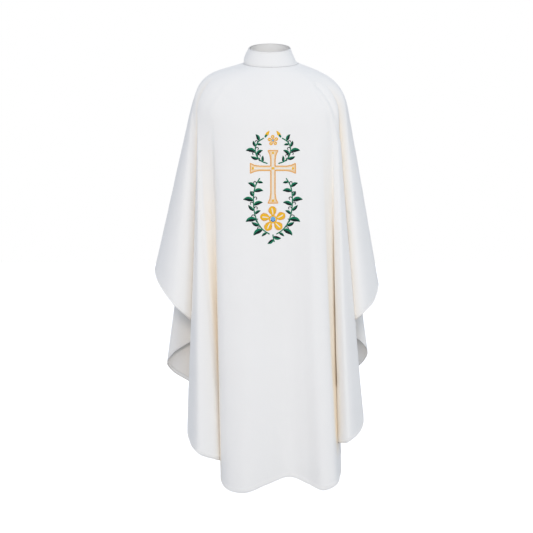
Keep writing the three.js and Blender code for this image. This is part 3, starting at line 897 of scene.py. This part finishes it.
def inset(outline, distance):
    """The closed outline moved inward, run anticlockwise."""
    before = outline - np.roll(outline, 1, axis=0)
    after = np.roll(outline, -1, axis=0) - outline
    normals = []
    for edge in (unit(before), unit(after)):
        normals.append(np.stack([-edge[:, 1], edge[:, 0]], axis=-1))
    middle = normals[0] + normals[1]
    return outline + middle * distance / (1 + np.sum(normals[0] * normals[1], axis=1))[:, None]


def resampled(outline, pitch, ring=True):
    corners = np.concatenate([outline, outline[:1]]) if ring else outline
    run = run_along(corners)
    count = int(run[-1] / pitch)
    at = np.linspace(0, run[-1], count + (0 if ring else 1), endpoint=not ring)
    return np.stack([np.interp(at, run, corners[:, k]) for k in range(2)], axis=-1)


def add_cross():
    fill = Embroidery("cross_fill", PEACH, "gold_thread", ("cross",))
    core = Embroidery("cross_core", PALE)
    for limb, turn in ((CROSS_UP, 90), (CROSS_ARM, 0), (CROSS_ARM, 180), (CROSS_DOWN, 270)):
        start = 0 if turn in (90, 270) else CROSS["half"] - 1
        t = np.linspace(start, limb[-1][0] - 0.6, CROSS["stations"])
        far, widths = np.array([(0, CROSS["half"]), *limb], float).T
        half = np.interp(t, far, widths) - 1
        angle = math.radians(turn)
        middle = np.stack([t * math.cos(angle), CROSS["z"] + t * math.sin(angle)], axis=-1)
        headings = np.full_like(t, angle)
        fill.add(middle, headings, half, half, height=0.4)
        half = half[:-2] * CROSS["core"]
        core.add(middle[:-2], headings[:-2], half, half, height=0.35, base=0.35)
    fill.finish()
    core.finish()
    edge = Embroidery("cross_edge", GOLD)
    line = resampled(inset(cross_outline(), CROSS["edge_in"]), CROSS["cord"])
    edge.cord(line, CROSS["cord"], height=0.9, base=0.15, ring=True)
    edge.finish()
    bosses = Embroidery("cross_bosses", YELLOW)
    z = CROSS["z"]
    up, down, arm = (limb[-1][0] - CROSS_BOSS["in"] for limb in (CROSS_UP, CROSS_DOWN, CROSS_ARM))
    for spot in ((0, z), (0, z + up), (0, z - down), (-arm, z), (arm, z)):
        bosses.boss(*spot, CROSS_BOSS["radius"], height=0.9, base=0.5)
    bosses.finish()


def add_leaf(light, dark, foot, heading, side, row):
    length, width, curl = row[2:]
    bend = math.radians(side * curl)
    middle, headings, half = blade(foot, heading, bend, length, width, LEAF_FOOT_HALF, LEAF_SHAPE)
    left, right = (half, LEAF_RIB) if side < 0 else (LEAF_RIB, half)
    light.add(middle, headings, left, right, height=0.75)
    dark.add(middle, headings, right, left, height=0.7)
    dark.add(middle[:-2], headings[:-2], VEIN_HALF, VEIN_HALF, height=0.3, base=0.65)


def add_tendril(thread, foot, heading, length, curl):
    t = np.linspace(0, 1, TENDRIL["stations"])
    headings = heading + math.radians(curl) * t**1.6
    steps = np.stack([np.cos(headings), np.sin(headings)], axis=-1) * length / (len(t) - 1)
    middle = np.asarray(foot) + np.concatenate([[[0.0, 0.0]], np.cumsum(steps, axis=0)[:-1]])
    knob = np.exp(-(((t - KNOB["at"]) / KNOB["size"]) ** 2))
    half = TENDRIL["half"] - TENDRIL["taper"] * t + KNOB["half"] * knob
    thread.add(middle, headings, half, half, height=0.7)


def add_spray(name, rows, leaves, tendrils, mirror):
    light = Embroidery(name + "_leaves", GREEN, "green_thread", (name,))
    dark = Embroidery(name + "_shade", DARK_GREEN)
    rows = [(x * mirror, z) for x, z in rows]
    points, headings = flat_path(rows, np.linspace(0, 1, 90))
    light.add(points, headings, STEM_HALF, STEM_HALF, height=0.8)
    dark.add(points, headings, *STEM_SHADE[::mirror], height=0.5, base=0.45)
    for row in leaves:
        side = row[1] * mirror
        (foot,), (heading,) = flat_path(rows, [row[0]])
        away = heading + side * math.pi / 2
        start = foot + STEM_HALF * np.array([math.cos(away), math.sin(away)])
        add_leaf(light, dark, start, heading + side * math.radians(LEAF_ANGLE), side, row)
    for at, side, size, curl in tendrils:
        side *= mirror
        (foot,), (heading,) = flat_path(rows, [at])
        add_tendril(dark, foot, heading + side * math.radians(TENDRIL["angle"]), size, side * curl)
    light.finish()
    dark.finish()


def add_flower(name, x, z, reach, width):
    petals = Embroidery(name + "_petals", YELLOW, "yellow_thread", (name,))
    edges = Embroidery(name + "_edges", ORANGE)
    streaks = Embroidery(name + "_streaks", PALE)
    eye = Embroidery(name + "_centre", BLUE, "blue_thread", (name + "_eye",))
    ring = reach * PETAL_RING
    turns = full_turn(40)
    circle = np.stack([np.cos(turns), np.sin(turns)], axis=-1)
    bend = math.radians(PETAL_BEND)
    for k in range(PETALS):
        heading = math.pi / 2 + 2 * math.pi * k / PETALS
        foot = np.array([x, z]) + ring * 0.93 * np.array([math.cos(heading), math.sin(heading)])
        sizes = (reach - ring, width, ring * 0.3, PETAL_SHAPE)
        middle, headings, half = blade(foot, heading, bend, *sizes)
        petals.add(middle, headings, half, half, height=0.8)
        across = np.stack([-np.sin(headings), np.cos(headings)], axis=-1) * (half - 0.5)[:, None]
        rim = np.concatenate([middle + across, (middle - across)[::-1]])
        edges.cord(resampled(rim, 1.2, ring=False), 0.6, height=0.5, base=0.35)
        streak = STREAK * width * half[1:-3] / half.max()
        streaks.add(middle[1:-3], headings[1:-3], streak, streak, height=0.3, base=0.72)
    around = np.array([x, z]) + circle * (reach * (EYE + PETAL_RING) / 2)
    petals.cord(around, ring * 0.2, height=0.7, ring=True)
    eye.boss(x, z, reach * EYE, height=0.9)
    low = np.radians(np.linspace(200, 340, 16))
    arc = np.array([x, z]) + np.stack([np.cos(low), np.sin(low)], axis=-1) * reach * EYE * 0.8
    shade = Embroidery(name + "_centre_shade", DARK_BLUE)
    shade.cord(arc, reach * 0.035, height=0.6, base=0.5)
    for part in (petals, edges, streaks, eye, shade):
        part.finish()


def add_bud(name, x, z, turn, length, width):
    heading = math.radians(turn)
    petals = Embroidery(name + "_petals", YELLOW, "yellow_thread", (name,))
    calyx = Embroidery(name + "_calyx", GREEN)
    middle, headings, half = blade((x, z), heading, 0, length, width, BUD_FOOT, BUD_SHAPE)
    petals.add(middle, headings, half, half, height=0.8)
    foot = np.array([x - math.cos(heading), z - math.sin(heading)])
    for side in (-1, 0, 1):
        sizes = (length * CALYX["side" if side else "middle"], width * CALYX["width"], CALYX["foot"])
        turn, bend = heading + side * CALYX["spread"], -side * CALYX["bend"]
        line, turns, wide = blade(foot, turn, bend, *sizes, BUD_SHAPE)
        calyx.add(line, turns, wide, wide, height=0.6, base=0.5)
    petals.finish()
    calyx.finish()


add_cross()
add_spray("spray_left", STEM, LEAVES, TENDRILS, 1)
add_spray("spray_right", STEM, LEAVES, TENDRILS, -1)
add_spray("spray_left_upper", STEM_UPPER, LEAVES_UPPER, TENDRILS_UPPER, 1)
add_spray("spray_right_upper", STEM_UPPER, LEAVES_UPPER, TENDRILS_UPPER, -1)
add_spray("spray_low", STEM_LOW, LEAVES_LOW, [], 1)
for flower in FLOWERS:
    add_flower(*flower)
for bud in BUDS:
    add_bud(*bud)


# Stage, light and camera

FLOOR = {"half": 14, "z": -1.46}
# Name, place, the point it faces, size in metres, watts and colour.
LIGHTS = [
    ("key", (-0.3, -4.0, 0.5), (0, 0, -0.5), 1.0, 42, (1.0, 0.91, 0.83)),
    ("right_fill", (2.4, -3.1, 1.2), (0, 0, -0.35), 1.2, 16, (0.96, 1.0, 0.96)),
    ("back_light", (0.5, 3.2, 1.4), (0, 0, -0.5), 2.4, 26, (1.0, 0.93, 0.88)),
]
AMBIENT = {"colour": (0.81, 0.88, 1.0), "strength": 0.75}
CAMERA_PLACE = (-0.009, -4.2, -0.35)
CAMERA_PITCH = math.radians(3.62)
CAMERA_LENS = 93.2
CAMERA_SENSOR = 36


def floor_material():
    """Pale studio floor that the camera sees as white paper, but that hardly lights the cloth."""
    material, tree, shader = node_material("studio_floor", (0.62, 0.62, 0.62), 0.9)
    path = tree.nodes.new("ShaderNodeLightPath")
    glow = tree.nodes.new("ShaderNodeMath")
    glow.operation = "MULTIPLY"
    glow.inputs[1].default_value = 0.8
    tree.links.new(path.outputs["Is Camera Ray"], glow.inputs[0])
    tree.links.new(glow.outputs[0], shader.inputs["Emission Strength"])
    shader.inputs["Emission Color"].default_value = (1, 1, 1, 1)
    return material


def add_floor():
    mesh = bpy.data.meshes.new("floor")
    signs = ((-1, -1), (1, -1), (1, 1), (-1, 1))
    corners = [(x * FLOOR["half"], y * FLOOR["half"], FLOOR["z"]) for x, y in signs]
    mesh.from_pydata(corners, [], [(0, 1, 2, 3)])
    mesh.materials.append(floor_material())
    floor = bpy.data.objects.new("floor", mesh)
    bpy.context.scene.collection.objects.link(floor)


def add_light(name, place, target, size, power, colour):
    light = bpy.data.lights.new(name, "AREA")
    light.shape = "DISK"
    light.size = size
    light.energy = power
    light.color = colour
    lamp = bpy.data.objects.new(name, light)
    bpy.context.scene.collection.objects.link(lamp)
    lamp.location = place
    lamp.rotation_euler = (Vector(target) - Vector(place)).to_track_quat("-Z", "Y").to_euler()


def add_world():
    world = bpy.data.worlds.new("studio")
    bpy.context.scene.world = world
    world.use_nodes = True
    tree = world.node_tree
    ambient = tree.nodes["Background"]
    ambient.inputs["Color"].default_value = (*AMBIENT["colour"], 1)
    ambient.inputs["Strength"].default_value = AMBIENT["strength"]
    white = tree.nodes.new("ShaderNodeBackground")
    white.inputs["Color"].default_value = (1, 1, 1, 1)
    white.inputs["Strength"].default_value = 1.0
    path = tree.nodes.new("ShaderNodeLightPath")
    mix = tree.nodes.new("ShaderNodeMixShader")
    tree.links.new(path.outputs["Is Camera Ray"], mix.inputs["Fac"])
    tree.links.new(ambient.outputs["Background"], mix.inputs[1])
    tree.links.new(white.outputs["Background"], mix.inputs[2])
    tree.links.new(mix.outputs["Shader"], tree.nodes["World Output"].inputs["Surface"])


def add_camera():
    camera = bpy.data.cameras.new("camera")
    camera.sensor_width = CAMERA_SENSOR
    camera.lens = CAMERA_LENS
    holder = bpy.data.objects.new("camera", camera)
    bpy.context.scene.collection.objects.link(holder)
    holder.location = CAMERA_PLACE
    holder.rotation_euler = (math.pi / 2 - CAMERA_PITCH, 0, 0)
    bpy.context.scene.camera = holder


add_floor()
for light in LIGHTS:
    add_light(*light)
add_world()
add_camera()
bpy.context.scene.view_settings.view_transform = "Standard"
